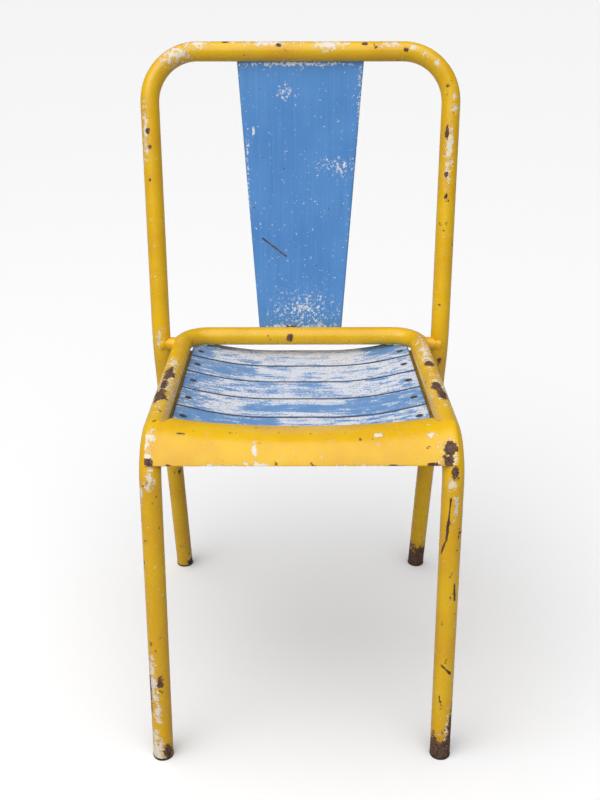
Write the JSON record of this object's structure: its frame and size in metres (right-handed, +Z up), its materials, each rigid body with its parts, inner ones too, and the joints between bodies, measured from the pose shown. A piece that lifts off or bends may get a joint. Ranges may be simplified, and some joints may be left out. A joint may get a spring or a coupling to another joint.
{
  "type": "stacking chair",
  "caption": "Stacking chair with a bent steel tube frame, a tapered sheet steel back splat, a sheet steel front apron and a dished seat of painted wooden slats.",
  "frame": {"origin": "floor level, at the middle of the chair's footprint", "axes": "+Z up, the seat faces -Y, +X to the right seen from the front"},
  "size_m": [0.431, 0.4747, 0.8114],
  "materials": {
    "yellow_paint": "satin yellow paint over white primer, chipped, with rust",
    "splat_paint": "satin blue paint, brushed on, chipped at the edges",
    "slat_wood": "blue paint worn through to pale primer along the grain",
    "fastener_steel": "dull zinc, partly overpainted",
    "glide_steel": "worn dark steel with rust"
  },
  "bodies": {
    "root": {"back_hoop": "yellow_paint", "seat_frame": "yellow_paint", "front_apron": "yellow_paint", "back_splat": "splat_paint", "slat_1": "slat_wood", "slat_screw_1_left": "fastener_steel", "slat_washer_1_left": "fastener_steel", "slat_nut_1_left": "fastener_steel", "slat_screw_1_right": "fastener_steel", "slat_washer_1_right": "fastener_steel", "slat_nut_1_right": "fastener_steel", "slat_2": "slat_wood", "slat_screw_2_left": "fastener_steel", "slat_washer_2_left": "fastener_steel", "slat_nut_2_left": "fastener_steel", "slat_screw_2_right": "fastener_steel", "slat_washer_2_right": "fastener_steel", "slat_nut_2_right": "fastener_steel", "slat_3": "slat_wood", "slat_screw_3_left": "fastener_steel", "slat_washer_3_left": "fastener_steel", "slat_nut_3_left": "fastener_steel", "slat_screw_3_right": "fastener_steel", "slat_washer_3_right": "fastener_steel", "slat_nut_3_right": "fastener_steel", "slat_4": "slat_wood", "slat_screw_4_left": "fastener_steel", "slat_washer_4_left": "fastener_steel", "slat_nut_4_left": "fastener_steel", "slat_screw_4_right": "fastener_steel", "slat_washer_4_right": "fastener_steel", "slat_nut_4_right": "fastener_steel", "slat_5": "slat_wood", "slat_screw_5_left": "fastener_steel", "slat_washer_5_left": "fastener_steel", "slat_nut_5_left": "fastener_steel", "slat_screw_5_right": "fastener_steel", "slat_washer_5_right": "fastener_steel", "slat_nut_5_right": "fastener_steel", "slat_support_left": "yellow_paint", "frame_lug_left": "yellow_paint", "foot_glide_front_left": "glide_steel", "foot_glide_rear_left": "glide_steel", "slat_support_right": "yellow_paint", "frame_lug_right": "yellow_paint", "foot_glide_front_right": "glide_steel", "foot_glide_rear_right": "glide_steel"}
  },
  "joints": []
}
